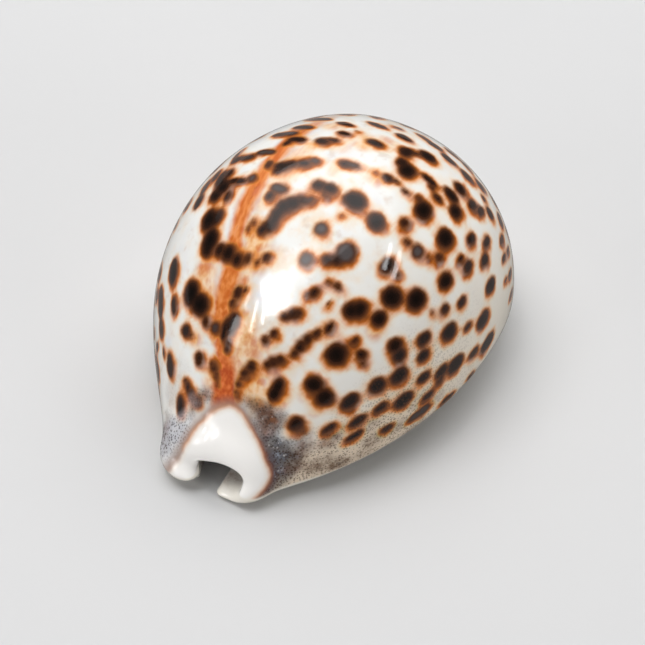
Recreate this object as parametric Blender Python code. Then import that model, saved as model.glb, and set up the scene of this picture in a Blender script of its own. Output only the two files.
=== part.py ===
"""Tiger cowrie shell: one grown, hollow, rolled wall with a toothed slot along its base.

The shell lies on its base. Y is its length, with the front canal at -Y and the spire end at +Y.
The outer lip is on -X and the columellar lip is on +X. Lengths below are in millimetres.
"""

import math

import bmesh
import bpy
import numpy as np

for old in list(bpy.data.objects):
    bpy.data.objects.remove(old, do_unlink=True)

MM = 0.001

# ---------------------------------------------------------------- driving dimensions
LENGTH = 80.0             # front canal to spire end
END_ROUND = 2.8           # length over which the rim of each end rounds over
ROOF_SETBACK_FRONT = 1.0  # the roof of the front canal stops short of the two lips
ROOF_SKEW = 0.7           # and further back on its columellar side
ROOF_SETBACK_REAR = 2.2
LIP_REACH_FRONT = 0.9     # the two lips reach this far past the roof stations
LIP_REACH_REAR = 0.8
FRONT_CALLUS = 0.5
NECK_HOLLOW = 0.8
SPIRE_HOLLOW = 0.6
LIP_TIP_ROUND = 1.4       # the lips are rounded off where they end, seen from above
OUTER_TIP_ROUND = 3.0     # and more so the outer lip beside the front canal
OUTER_TIP_REACH = 0.6     # which also reaches a little further
BASE_SINK = 0.35          # depth of the base curve that is worn flat

TOOTH_PITCH = 2.6
TEETH_OUTER = 26
TEETH_COLUMELLAR = 24
TOOTH_DEPTH = 0.9

LIP_POINTS = 4            # points round each lip, outside and inside alike
ARC_POINTS = 30           # points over the back, from one lip to the other

MIDDLE_X = -0.85          # the outline's middle, which becomes the origin
MIDDLE_Y = -0.27

# Outline of the shell, read at these stations along its length.
STATIONS = (-40, -36, -31, -24, -14, -2, 10, 20, 29, 35, 40)
LEFT_SIDE = (12.0, 14.0, 17.0, 22.1, 28.2, 30.8, 29.2, 25.0, 18.6, 12.5, 7.5)
RIGHT_SIDE = (7.0, 9.3, 13.4, 18.9, 24.7, 28.4, 29.0, 27.0, 21.0, 14.0, 8.0)
BACK_HEIGHT = (9.5, 12.0, 18.4, 28.2, 36.9, 42.8, 42.8, 38.8, 31.2, 22.6, 13.0)
MARGIN_HEIGHT = (4.6, 4.6, 4.9, 6.0, 8.2, 9.8, 9.8, 9.2, 8.0, 6.5, 5.5)

# Thickness of the wall at the same stations: it thickens into the callus at both ends.
WALL_LEFT = (8.4, 7.4, 5.4, 3.8, 3.0, 2.8, 2.8, 3.0, 3.4, 4.6, 6.3)
WALL_RIGHT = (4.2, 4.2, 4.0, 3.4, 3.0, 2.8, 2.8, 3.0, 3.6, 4.4, 4.0)
WALL_BACK = (3.9, 3.8, 3.2, 2.8, 2.4, 2.2, 2.2, 2.4, 2.8, 3.6, 3.6)

# Slot in the base: its middle line, its half width and the height of its lips.
SLOT_STATIONS = (-40, -30, -15, 0, 15, 30, 40)
SLOT_MIDDLE = (-2.9, -3.7, -4.2, -4.0, -3.0, -0.8, 1.6)
SLOT_HALF = (2.0, 2.8, 2.9, 2.7, 2.4, 2.3, 2.5)
LIP_HEIGHT_OUTER = (3.0, 4.2, 5.4, 5.8, 5.6, 4.8, 3.4)
LIP_HEIGHT_COLUMELLAR = (1.9, 3.0, 5.0, 5.6, 5.4, 4.4, 3.0)


def spline(stations, values):
    """Smooth curve through hand-set values: a natural cubic spline."""
    k = np.array(stations, float)
    v = np.array(values, float)
    n = len(k)
    h = np.diff(k)
    a = np.zeros((n, n))
    b = np.zeros(n)
    a[0, 0] = a[-1, -1] = 1.0
    for i in range(1, n - 1):
        a[i, i - 1:i + 2] = h[i - 1], 2 * (h[i - 1] + h[i]), h[i]
        b[i] = 6 * ((v[i + 1] - v[i]) / h[i] - (v[i] - v[i - 1]) / h[i - 1])
    m = np.linalg.solve(a, b)

    def curve(y):
        i = int(np.clip(np.searchsorted(k, y) - 1, 0, n - 2))
        d, e, w = y - k[i], k[i + 1] - y, h[i]
        bend = (m[i] * e ** 3 + m[i + 1] * d ** 3) / (6 * w)
        return bend + (v[i] / w - m[i] * w / 6) * e + (v[i + 1] / w - m[i + 1] * w / 6) * d

    return curve


left_side = spline(STATIONS, LEFT_SIDE)
right_side = spline(STATIONS, RIGHT_SIDE)
back_height = spline(STATIONS, BACK_HEIGHT)
margin_height = spline(STATIONS, MARGIN_HEIGHT)
wall_left = spline(STATIONS, WALL_LEFT)
wall_right = spline(STATIONS, WALL_RIGHT)
wall_back = spline(STATIONS, WALL_BACK)
slot_middle = spline(SLOT_STATIONS, SLOT_MIDDLE)
slot_half = spline(SLOT_STATIONS, SLOT_HALF)
lip_outer = spline(SLOT_STATIONS, LIP_HEIGHT_OUTER)
lip_columellar = spline(SLOT_STATIONS, LIP_HEIGHT_COLUMELLAR)


def ease(a, b, x):
    """Smooth step from 0 at a to 1 at b."""
    t = min(max((x - a) / (b - a), 0.0), 1.0)
    return t * t * (3 - 2 * t)


def hump(t):
    """Bell curve: 1 at the middle, nearly 0 two widths away."""
    return math.exp(-t * t)


def oval_point(angle, left, right, low, middle, high, n_low, n_high):
    """Point of a lopsided oval: angle 180 is its left, 90 its top, 0 its right, -90 its foot."""
    c, s = math.cos(angle), math.sin(angle)
    n = n_high if s >= 0 else n_low
    x = math.copysign(abs(c) ** (2 / n), c) * (right if c >= 0 else left)
    z = middle + ((high - middle) if s >= 0 else (low - middle)) * abs(s) ** (2 / n)
    return x, z


def oval_arc(x_from, x_to, left, right, lows, middle, high, n_low, n_high):
    """Oval from under its left side, over the top, to under its right side."""
    start = math.pi + math.acos(min(abs(x_from) / left, 1.0) ** (n_low / 2))
    stop = -math.acos(min(abs(x_to) / right, 1.0) ** (n_low / 2))
    arc = []
    for i in range(ARC_POINTS):
        angle = start + (stop - start) * i / (ARC_POINTS - 1)
        low = lows[0] if math.cos(angle) < 0 else lows[1]
        x, z = oval_point(angle, left, right, low, middle, high, n_low, n_high)
        arc.append((x, z, math.degrees(angle)))
    return arc


def swell(y, angle):
    """Relief of the outside: a raised callus over the front canal with a hollow on either side."""
    callus = FRONT_CALLUS * hump((y + 36.0) / 4.0) * hump((angle - 92.0) / 34.0)
    right_hollow = NECK_HOLLOW * hump((y + 32.5) / 4.5) * hump((angle - 15.0) / 26.0)
    left_hollow = NECK_HOLLOW * hump((y + 33.5) / 4.0) * hump((angle - 158.0) / 22.0)
    spire_hollow = SPIRE_HOLLOW * hump((y - 34.5) / 3.2) * hump((angle - 78.0) / 24.0)
    return callus - right_hollow - left_hollow - spire_hollow


def lip_round(start, end):
    """Quarter round from the inmost line of a lip, which is upright, to a level end."""
    points = []
    for i in range(LIP_POINTS):
        a = 0.5 * math.pi * i / LIP_POINTS
        x = start[0] + (end[0] - start[0]) * (1 - math.cos(a))
        z = start[1] + (end[1] - start[1]) * math.sin(a)
        points.append((x, z, math.cos(a)))
    return points


def groove(y, teeth):
    """How deep a lip is cut between its teeth at this place, from 0 to 1."""
    first = -TOOTH_PITCH * (teeth - 1) / 2
    wave = 0.5 - 0.5 * math.cos(2 * math.pi * (y - first) / TOOTH_PITCH)
    return wave * ease(-first + TOOTH_PITCH, -first - TOOTH_PITCH, abs(y))


def section(y):
    """Cross-section of the wall: its outside and its inside, from the outer lip to the columella."""
    left, right = left_side(y), right_side(y)
    high, middle = back_height(y), margin_height(y)
    gap_left = slot_middle(y) - slot_half(y)
    gap_right = slot_middle(y) + slot_half(y)
    lip_l, lip_r = lip_outer(y), lip_columellar(y)

    out_l = gap_left - 0.45 * lip_l
    out_r = gap_right + 0.45 * lip_r
    outside = oval_arc(out_l, out_r, left, right, (-BASE_SINK, -BASE_SINK), middle, high, 2.75, 2.12)
    outside = [(x + swell(y, a) * math.cos(math.radians(a)),
                max(z + swell(y, a) * math.sin(math.radians(a)), 0.0), 0.0) for x, z, a in outside]

    in_left, in_right = left - wall_left(y), right - wall_right(y)
    in_high = high - wall_back(y)
    narrow = ease(16.0, 6.0, in_high)
    in_middle = (middle + 1.0) * (1 - narrow) + 0.5 * (min(lip_l, lip_r) + in_high) * narrow
    in_l = max(gap_left - 1.2, -in_left)
    in_r = min(gap_right + 1.2, in_right)
    squareness = 2.15 + 1.2 * narrow
    inside = oval_arc(in_l, in_r, in_left, in_right, (lip_l, lip_r), in_middle, in_high,
                      2.6, squareness)
    inside = [(x, z, 0.0) for x, z, a in inside]

    mid_l = (gap_left, 0.42 * lip_l + outside[0][1])
    mid_r = (gap_right, 0.42 * lip_r + outside[-1][1])
    under_l, under_r = lip_round(mid_l, outside[0]), lip_round(mid_r, outside[-1])
    over_l, over_r = lip_round(mid_l, inside[0]), lip_round(mid_r, inside[-1])
    cut_l = TOOTH_DEPTH * groove(y, TEETH_OUTER)
    cut_r = -TOOTH_DEPTH * groove(y, TEETH_COLUMELLAR)

    def finish(lip_a, arc, lip_b):
        a = [(x - cut_l * w, z) for x, z, w in lip_a]
        b = [(x - cut_r * w, z) for x, z, w in lip_b]
        return a + [(x, z) for x, z, w in arc] + b[::-1]

    return finish(under_l, outside, under_r), finish(over_l, inside, over_r)


def end_shift(y, x, z):
    """How far a point near an end is set back, so the canals notch both ends."""
    outer_tip = y < 0 and x < slot_middle(y)
    rounding = OUTER_TIP_ROUND if outer_tip else LIP_TIP_ROUND
    gap = (abs(x - slot_middle(y)) - slot_half(y)) / rounding
    tip = rounding * (1 - math.sqrt(1 - (1 - min(max(gap, 0.0), 1.0)) ** 2))
    low = ease(5.5, 2.5, z)
    if y < 0:
        reach = LIP_REACH_FRONT + (OUTER_TIP_REACH if outer_tip else 0.0)
        tip = (tip - reach) * low
        roof = ROOF_SETBACK_FRONT * ease(3.0, 7.5, z)
        skew = ROOF_SKEW * ease(-5.5, 0.5, x)
        return (roof + skew) * ease(-30.0, -40.0, y) + tip * ease(-35.0, -40.0, y)
    tip = (tip - LIP_REACH_REAR) * low
    roof = ROOF_SETBACK_REAR * ease(3.5, 8.5, z)
    return -roof * ease(30.0, 40.0, y) - tip * ease(35.0, 40.0, y)


def stations_along():
    """Rows along the shell: one on each tooth and each groove, closer where the ends round over."""
    half = TOOTH_PITCH / 2
    rows = [i * half for i in range(-28, 29)]
    ends = [half * 28 + (LENGTH / 2 - half * 28) * f for f in (0.3, 0.6, 0.8, 0.93, 1.0)]
    return [-e for e in reversed(ends)] + rows + ends


def wall_rows():
    """Rows of outside and inside points; the two meet along the rim at each end."""
    rows = []
    for y in stations_along():
        outside, inside = section(y)
        depth = min(1.0, (LENGTH / 2 - abs(y)) / END_ROUND)
        full = math.sqrt(max(0.0, 1.0 - (1.0 - depth) ** 2))
        row = []
        for (xo, zo), (xi, zi) in zip(outside, inside):
            xm, zm = 0.5 * (xo + xi), 0.5 * (zo + zi)
            place = y + end_shift(y, xm, zm)
            row.append(((xm + (xo - xm) * full, place, zm + (zo - zm) * full),
                        (xm + (xi - xm) * full, place, zm + (zi - zm) * full)))
        rows.append(row)
    return rows


def place_in_frame(point):
    """Millimetres to metres, with the middle of the shell's outline over the origin."""
    x, y, z = point
    return ((x - MIDDLE_X) * MM, (y - MIDDLE_Y) * MM, z * MM)


def shell_mesh():
    bm = bmesh.new()
    rows = wall_rows()
    last = len(rows) - 1
    outer, inner = [], []
    for r, row in enumerate(rows):
        out_verts, in_verts = [], []
        for k, (o, i) in enumerate(row):
            v = bm.verts.new(place_in_frame(o))
            shared = r in (0, last) or k in (0, len(row) - 1)
            w = v if shared else bm.verts.new(place_in_frame(i))
            out_verts.append(v)
            in_verts.append(w)
        outer.append(out_verts)
        inner.append(in_verts)
    for r in range(last):
        for k in range(len(rows[0]) - 1):
            a, b = outer[r], outer[r + 1]
            bm.faces.new((a[k], a[k + 1], b[k + 1], b[k]))
            a, b = inner[r], inner[r + 1]
            bm.faces.new((a[k + 1], a[k], b[k], b[k + 1]))
    bmesh.ops.recalc_face_normals(bm, faces=bm.faces)
    bmesh.ops.triangulate(bm, faces=bm.faces)
    mesh = bpy.data.meshes.new("shell")
    bm.to_mesh(mesh)
    bm.free()
    return mesh


shell = bpy.data.objects.new("shell", shell_mesh())
bpy.context.scene.collection.objects.link(shell)
glaze = bpy.data.materials.new("shell_glaze")
glaze.use_nodes = True
principled = glaze.node_tree.nodes["Principled BSDF"]
principled.inputs["Base Color"].default_value = (0.78, 0.62, 0.45, 1.0)
principled.inputs["Roughness"].default_value = 0.15
shell.data.materials.append(glaze)
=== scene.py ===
"""Looks of the tiger cowrie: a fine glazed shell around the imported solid, with its spots and callus.

The shell lies on its base, with the front canal at -Y and the spire end at +Y. Its own measures
are in millimetres. A place on its outside is "along" (mm from the middle of the length, front
canal at -40) and "around" (degrees: 180 the outer-lip side, 90 the back, 0 the columellar side).
"""

import math

import bmesh
import bpy
import numpy as np
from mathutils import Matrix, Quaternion, Vector


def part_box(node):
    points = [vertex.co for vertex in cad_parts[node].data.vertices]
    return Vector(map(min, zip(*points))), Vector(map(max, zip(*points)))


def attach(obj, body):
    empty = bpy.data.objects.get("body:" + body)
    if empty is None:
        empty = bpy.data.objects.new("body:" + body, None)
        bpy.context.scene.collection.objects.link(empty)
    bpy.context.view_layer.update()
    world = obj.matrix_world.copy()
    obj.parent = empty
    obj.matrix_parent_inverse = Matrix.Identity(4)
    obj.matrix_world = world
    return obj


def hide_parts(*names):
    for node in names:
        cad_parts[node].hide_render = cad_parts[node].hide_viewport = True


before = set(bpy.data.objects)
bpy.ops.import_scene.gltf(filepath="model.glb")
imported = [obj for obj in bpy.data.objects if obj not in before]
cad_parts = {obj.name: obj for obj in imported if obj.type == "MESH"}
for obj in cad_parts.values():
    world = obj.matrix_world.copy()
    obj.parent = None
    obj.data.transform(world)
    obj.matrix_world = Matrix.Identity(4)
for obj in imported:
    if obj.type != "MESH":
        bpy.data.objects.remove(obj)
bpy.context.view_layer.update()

# ------------------------------------------------------------------ form of the shell
HALF_LENGTH = 40.0
END_ROUND = 2.8            # length over which the rim of each end rounds over
ROOF_SETBACK_FRONT = 1.0   # the roof of the front canal stops short of the two lips
ROOF_SKEW = 0.7            # and further back on its columellar side
ROOF_SETBACK_REAR = 2.2
LIP_REACH_FRONT = 0.9      # the two lips reach this far past the roof
LIP_REACH_REAR = 0.8
LIP_TIP_ROUND = 1.4        # the lips are rounded off where they end, seen from above
OUTER_TIP_ROUND = 3.0      # and more so the outer lip beside the front canal
OUTER_TIP_REACH = 0.6      # which also reaches a little further
BASE_SINK = 0.35           # depth of the base curve that is worn flat
SQUARE_BASE = 2.75         # how square the outside is below its sides, where 2 is an ellipse
SQUARE_BACK = 2.12         # and above them
SQUARE_HOLLOW = 2.6        # the same for the inside, below its sides

# Relief of the outside: (height, along, half length, around, half width).
SWELLS = (
    (0.5, -36.0, 4.0, 92.0, 34.0),      # callus over the front canal
    (-0.8, -32.5, 4.5, 15.0, 26.0),     # hollow of the neck on the columellar side
    (-0.8, -33.5, 4.0, 158.0, 22.0),    # and on the outer side
    (-0.6, 34.5, 3.2, 78.0, 24.0),      # hollow over the spire
)

TOOTH_PITCH = 2.6
TEETH_OUTER = 26
TEETH_COLUMELLAR = 24
TOOTH_DEPTH = 0.9

# Outline of the shell and thickness of its wall, at these stations along its length.
STATIONS = (-40, -36, -31, -24, -14, -2, 10, 20, 29, 35, 40)
LEFT_SIDE = (12.0, 14.0, 17.0, 22.1, 28.2, 30.8, 29.2, 25.0, 18.6, 12.5, 7.5)
RIGHT_SIDE = (7.0, 9.3, 13.4, 18.9, 24.7, 28.4, 29.0, 27.0, 21.0, 14.0, 8.0)
BACK_HEIGHT = (9.5, 12.0, 18.4, 28.2, 36.9, 42.8, 42.8, 38.8, 31.2, 22.6, 13.0)
MARGIN_HEIGHT = (4.6, 4.6, 4.9, 6.0, 8.2, 9.8, 9.8, 9.2, 8.0, 6.5, 5.5)
WALL_LEFT = (8.4, 7.4, 5.4, 3.8, 3.0, 2.8, 2.8, 3.0, 3.4, 4.6, 6.3)
WALL_RIGHT = (4.2, 4.2, 4.0, 3.4, 3.0, 2.8, 2.8, 3.0, 3.6, 4.4, 4.0)
WALL_BACK = (3.9, 3.8, 3.2, 2.8, 2.4, 2.2, 2.2, 2.4, 2.8, 3.6, 3.6)

# Slot in the base: its middle line, its half width and the height of its lips.
SLOT_STATIONS = (-40, -30, -15, 0, 15, 30, 40)
SLOT_MIDDLE = (-2.9, -3.7, -4.2, -4.0, -3.0, -0.8, 1.6)
SLOT_HALF = (2.0, 2.8, 2.9, 2.7, 2.4, 2.3, 2.5)
LIP_HEIGHT_OUTER = (3.0, 4.2, 5.4, 5.8, 5.6, 4.8, 3.4)
LIP_HEIGHT_COLUMELLAR = (1.9, 3.0, 5.0, 5.6, 5.4, 4.4, 3.0)

LIP_COLUMNS = 7            # columns round each lip
BASE_COLUMNS = 24          # columns over each half of the flat base
BACK_COLUMNS = 190         # columns from margin to margin over the back
MARGIN_ANGLE = 26.0        # where the base turns into the margin, below each side
ROWS_PER_TOOTH = 6
EVEN_ROWS_TO = 36.4        # where the even rows give way to closer ones at each end
END_ROWS = 10


def spline(stations, values):
    """Natural cubic spline through the given values; works on single numbers and on arrays."""
    k = np.array(stations, float)
    v = np.array(values, float)
    n = len(k)
    h = np.diff(k)
    a = np.eye(n)
    b = np.zeros(n)
    for i in range(1, n - 1):
        a[i, i - 1:i + 2] = h[i - 1], 2 * (h[i - 1] + h[i]), h[i]
        b[i] = 6 * ((v[i + 1] - v[i]) / h[i] - (v[i] - v[i - 1]) / h[i - 1])
    m = np.linalg.solve(a, b)

    def curve(y):
        i = np.clip(np.searchsorted(k, y) - 1, 0, n - 2)
        d, e, w = y - k[i], k[i + 1] - y, h[i]
        bend = (m[i] * e ** 3 + m[i + 1] * d ** 3) / (6 * w)
        return bend + (v[i] / w - m[i] * w / 6) * e + (v[i + 1] / w - m[i + 1] * w / 6) * d

    return curve


left_side = spline(STATIONS, LEFT_SIDE)
right_side = spline(STATIONS, RIGHT_SIDE)
back_height = spline(STATIONS, BACK_HEIGHT)
margin_height = spline(STATIONS, MARGIN_HEIGHT)
wall_left = spline(STATIONS, WALL_LEFT)
wall_right = spline(STATIONS, WALL_RIGHT)
wall_back = spline(STATIONS, WALL_BACK)
slot_middle = spline(SLOT_STATIONS, SLOT_MIDDLE)
slot_half = spline(SLOT_STATIONS, SLOT_HALF)
lip_outer = spline(SLOT_STATIONS, LIP_HEIGHT_OUTER)
lip_columellar = spline(SLOT_STATIONS, LIP_HEIGHT_COLUMELLAR)


def ease(a, b, x):
    """Smooth step from 0 at a to 1 at b."""
    t = np.clip((x - a) / (b - a), 0.0, 1.0)
    return t * t * (3 - 2 * t)


def hump(t):
    """Bell curve: 1 at the middle, nearly 0 two widths away."""
    return np.exp(-t * t)


def oval(degrees, left, right, low_left, low_right, middle, high, n_low, n_high):
    """Points of a lopsided oval: 180 is its left, 90 its top, 0 its right, -90 its foot."""
    c, s = np.cos(np.radians(degrees)), np.sin(np.radians(degrees))
    power = 2 / np.where(s >= 0, n_high, n_low)
    x = np.sign(c) * np.abs(c) ** power * np.where(c >= 0, right, left)
    low = np.where(c < 0, low_left, low_right)
    z = middle + np.where(s >= 0, high - middle, low - middle) * np.abs(s) ** power
    return x, z


def swell(y, around):
    """Relief of the outside: a raised callus over the front canal, hollows beside it and behind."""
    return sum(height * hump((y - along) / long) * hump((around - angle) / wide)
               for height, along, long, angle, wide in SWELLS)


def outer_oval(y, around):
    """The outside at a place, before the ends are notched and rounded."""
    x, z = oval(around, left_side(y), right_side(y), -BASE_SINK, -BASE_SINK,
                margin_height(y), back_height(y), SQUARE_BASE, SQUARE_BACK)
    rise = swell(y, around)
    x = x + rise * np.cos(np.radians(around))
    z = np.maximum(z + rise * np.sin(np.radians(around)), 0.0)
    return x, z


def end_shift(y, x, z):
    """How far a point near an end is set back, so that the canals notch both ends."""
    outer_tip = (y < 0) & (x < slot_middle(y))
    rounding = np.where(outer_tip, OUTER_TIP_ROUND, LIP_TIP_ROUND)
    gap = np.clip((np.abs(x - slot_middle(y)) - slot_half(y)) / rounding, 0.0, 1.0)
    tip = rounding * (1 - np.sqrt(1 - (1 - gap) ** 2))
    low = ease(5.5, 2.5, z)
    front_tip = (tip - LIP_REACH_FRONT - np.where(outer_tip, OUTER_TIP_REACH, 0.0)) * low
    rear_tip = (tip - LIP_REACH_REAR) * low
    roof = ROOF_SETBACK_FRONT * ease(3.0, 7.5, z)
    skew = ROOF_SKEW * ease(-5.5, 0.5, x)
    front = (roof + skew) * ease(-30.0, -40.0, y) + front_tip * ease(-35.0, -40.0, y)
    rear_roof = ROOF_SETBACK_REAR * ease(3.5, 8.5, z)
    rear = rear_roof * ease(30.0, 40.0, y) + rear_tip * ease(35.0, 40.0, y)
    return front - rear


def arc_columns(first, last):
    """Angles from under the left side to under the right side, closer together over the back."""
    left = np.linspace(first, 180.0 + MARGIN_ANGLE, BASE_COLUMNS, endpoint=False)
    back = np.linspace(180.0 + MARGIN_ANGLE, -MARGIN_ANGLE, BACK_COLUMNS, endpoint=False)
    right = np.linspace(-MARGIN_ANGLE, last, BASE_COLUMNS)
    return np.concatenate((left, back, right))


def foot_angle(x, side, n_low):
    """How far below its side an oval's foot reaches inwards to x."""
    return math.degrees(math.acos(min(abs(x) / side, 1.0) ** (n_low / 2)))


def lip_round(start, end):
    """Quarter round from the inmost line of a lip, which is upright, to a level end."""
    a = 0.5 * math.pi * np.arange(LIP_COLUMNS) / LIP_COLUMNS
    x = start[0] + (end[0] - start[0]) * (1 - np.cos(a))
    z = start[1] + (end[1] - start[1]) * np.sin(a)
    return x, z, np.cos(a)


def groove(y, teeth):
    """How deep a lip is cut between its teeth at this place, from 0 to 1."""
    first = -TOOTH_PITCH * (teeth - 1) / 2
    wave = 0.5 - 0.5 * math.cos(2 * math.pi * (y - first) / TOOTH_PITCH)
    return wave ** 1.4 * float(ease(-first + TOOTH_PITCH, -first - TOOTH_PITCH, abs(y)))


def section(y):
    """Cross-section of the wall: its outside and its inside, from the outer lip to the columella."""
    gap_left = slot_middle(y) - slot_half(y)
    gap_right = slot_middle(y) + slot_half(y)
    lip_l, lip_r = lip_outer(y), lip_columellar(y)
    left, right, high, middle = left_side(y), right_side(y), back_height(y), margin_height(y)
    first = 180.0 + foot_angle(gap_left - 0.45 * lip_l, left, SQUARE_BASE)
    last = -foot_angle(gap_right + 0.45 * lip_r, right, SQUARE_BASE)
    around = arc_columns(first, last)
    out_x, out_z = outer_oval(y, around)

    in_left, in_right, in_high = left - wall_left(y), right - wall_right(y), high - wall_back(y)
    narrow = float(ease(16.0, 6.0, in_high))
    in_middle = (middle + 1.0) * (1 - narrow) + 0.5 * (min(lip_l, lip_r) + in_high) * narrow
    in_first = 180.0 + foot_angle(max(gap_left - 1.2, -in_left), in_left, SQUARE_HOLLOW)
    in_last = -foot_angle(min(gap_right + 1.2, in_right), in_right, SQUARE_HOLLOW)
    in_x, in_z = oval(arc_columns(in_first, in_last), in_left, in_right, lip_l, lip_r, in_middle,
                      in_high, SQUARE_HOLLOW, 2.15 + 1.2 * narrow)

    mid_l = (gap_left, 0.42 * lip_l + out_z[0])
    mid_r = (gap_right, 0.42 * lip_r + out_z[-1])
    cut_l = TOOTH_DEPTH * groove(y, TEETH_OUTER)
    cut_r = -TOOTH_DEPTH * groove(y, TEETH_COLUMELLAR)

    def with_lips(x, z):
        ax, az, aw = lip_round(mid_l, (x[0], z[0]))
        bx, bz, bw = lip_round(mid_r, (x[-1], z[-1]))
        whole_x = np.concatenate((ax - cut_l * aw, x, (bx - cut_r * bw)[::-1]))
        return whole_x, np.concatenate((az, z, bz[::-1]))

    whole_around = np.concatenate((np.full(LIP_COLUMNS, first), around, np.full(LIP_COLUMNS, last)))
    return with_lips(out_x, out_z), with_lips(in_x, in_z), whole_around


def rows_along():
    """Rows along the shell: even over the teeth, closing up where the ends round over."""
    step = TOOTH_PITCH / ROWS_PER_TOOTH
    count = int(EVEN_ROWS_TO / step + 0.5)
    middle = [i * step for i in range(-count, count + 1)]
    start = count * step
    turn = [math.sin(0.5 * math.pi * (i + 1) / END_ROWS) for i in range(END_ROWS)]
    ends = [start + (HALF_LENGTH - start) * t for t in turn]
    return [-e for e in reversed(ends)] + middle + ends


def wall():
    """Outside and inside points of the wall, row by row, with the places of the outside ones."""
    outside, inside, along, around = [], [], [], []
    for y in rows_along():
        (xo, zo), (xi, zi), degrees = section(y)
        depth = min(1.0, (HALF_LENGTH - abs(y)) / END_ROUND)
        full = math.sqrt(max(0.0, 1.0 - (1.0 - depth) ** 2))
        xm, zm = 0.5 * (xo + xi), 0.5 * (zo + zi)
        place = y + end_shift(y, xm, zm)
        outside.append(np.stack((xm + (xo - xm) * full, place, zm + (zo - zm) * full), axis=1))
        inside.append(np.stack((xm + (xi - xm) * full, place, zm + (zi - zm) * full), axis=1))
        along.append(np.full(len(degrees), y))
        around.append(degrees)
    return np.array(outside), np.array(inside), np.array(along), np.array(around)


def outer_point(y, around):
    """A place on the outside as a point in the shell's own millimetres."""
    x, z = outer_oval(y, around)
    return np.stack((x, y + end_shift(y, 0.8 * x, 0.85 * z), z), axis=-1)


# ------------------------------------------------------------------ markings
# A dab is (along, around, half length, half width, ink, veil). Ink is how dark it is, from 0 to 1,
# and 1 where left out. Veil is how much milky glaze lies over it, and 0 where left out. Dabs that
# touch flow together.
LEFT_FRONT_DABS = (
    (-28.4, 149, 1.9, 1.1), (-26.2, 156, 1, 0.5, 0.5), (-26, 172, 2, 1, 0.8), (-22.8, 157, 1.6, 1, 0.95),
    (-25.4, 132, 1.1, 1.1), (-26.1, 128, 0.6, 0.6, 0.7), (-28.6, 121, 1.2, 0.9, 0.9),
    (-33.6, 137.5, 1.65, 1), (-30.8, 132, 0.6, 0.6, 0.8), (-31.6, 129, 0.9, 0.7, 0.75),
    (-32.3, 125, 0.9, 0.8, 0.7), (-33.2, 119, 0.9, 0.7, 0.5), (-28.9, 112, 0.6, 0.5, 0.5),
    (-29.4, 109.8, 0.7, 0.7, 0.7), (-30.1, 107.5, 0.7, 0.8, 0.6), (-31, 106, 0.7, 0.6, 0.3),
    (-26.9, 104, 1.2, 0.6, 0.85), (-25, 104, 1.2, 0.9, 0.9), (-28.1, 89.5, 0.95, 0.9),
    (-29.1, 92, 0.9, 0.8, 0.85), (-30.2, 93.5, 0.8, 0.7, 0.5), (-31.2, 94, 0.7, 0.6, 0.2),
)
LEFT_DABS = (
    (-10.4, 126.5, 1.7, 1.6), (-10.2, 122.5, 1.3, 1.2, 0.95), (-13.7, 122.9, 1.9, 1.6),
    (-15.2, 123.3, 1.3, 1.2, 0.95), (-15.4, 117, 1.1, 1, 0.9), (-15.9, 112.8, 1.4, 1.3, 0.95),
    (-16.6, 108.3, 1.2, 1.1, 0.85), (-16.1, 104, 0.9, 0.7, 0.6), (-16.7, 144, 2.1, 1.3),
    (-19.2, 156.5, 2.4, 1.2, 0.95), (-21.7, 142.3, 1.5, 0.9, 0.65), (-21, 129.4, 1.9, 1.7),
    (-22.6, 123.2, 1.7, 1.8), (-20.8, 104.2, 1.1, 0.8, 0.75), (-22.3, 105.7, 0.8, 0.6, 0.6),
    (-20.2, 101, 0.7, 0.5, 0.5), (-24.7, 118.6, 1, 0.8, 0.35), (-24.1, 103, 1.2, 1),
    (-24.7, 105.5, 0.8, 0.7, 0.9), (-25.3, 112.5, 1, 1, 0.6, 0.3), (-25.6, 107, 1.5, 0.7, 0.85),
)
LEFT_REAR_DABS = (
    (-6, 128, 1.3, 1.5), (-4.6, 126, 1.5, 1.6), (-2, 130.5, 1.5, 1, 0.95), (-1.5, 127, 1, 1.1, 0.9),
    (-3.3, 128.5, 1.2, 1.4), (-3.7, 120.5, 0.65, 2, 0.85), (-3.2, 114.5, 1, 1, 0.5, 0.5),
    (-6.6, 121.5, 1.4, 1.1, 0.2), (-5.9, 137.6, 1.5, 1.2, 0.95), (-4.2, 148.5, 1, 1, 0.6),
    (-2.8, 138.5, 1.6, 1, 0.7, 0.4), (-0.8, 135, 1.4, 0.9, 0.75), (2, 128.5, 1, 1.4, 0.8),
    (1.8, 122.8, 0.8, 1.6, 0.75, 0.2), (4, 131.5, 1.4, 0.7, 0.25), (2.9, 115.8, 0.8, 2, 0.8, 0.3),
    (7, 108.5, 0.9, 1.7, 0.9), (5.6, 110.8, 1, 0.8, 0.6), (11.7, 112.5, 0.9, 1.9, 0.9),
    (8.8, 118.5, 0.8, 1.6, 0.85), (9, 114.3, 0.8, 1.6, 0.6, 0.4), (16.2, 112.8, 0.9, 2.6, 0.85, 0.3),
)
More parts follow.
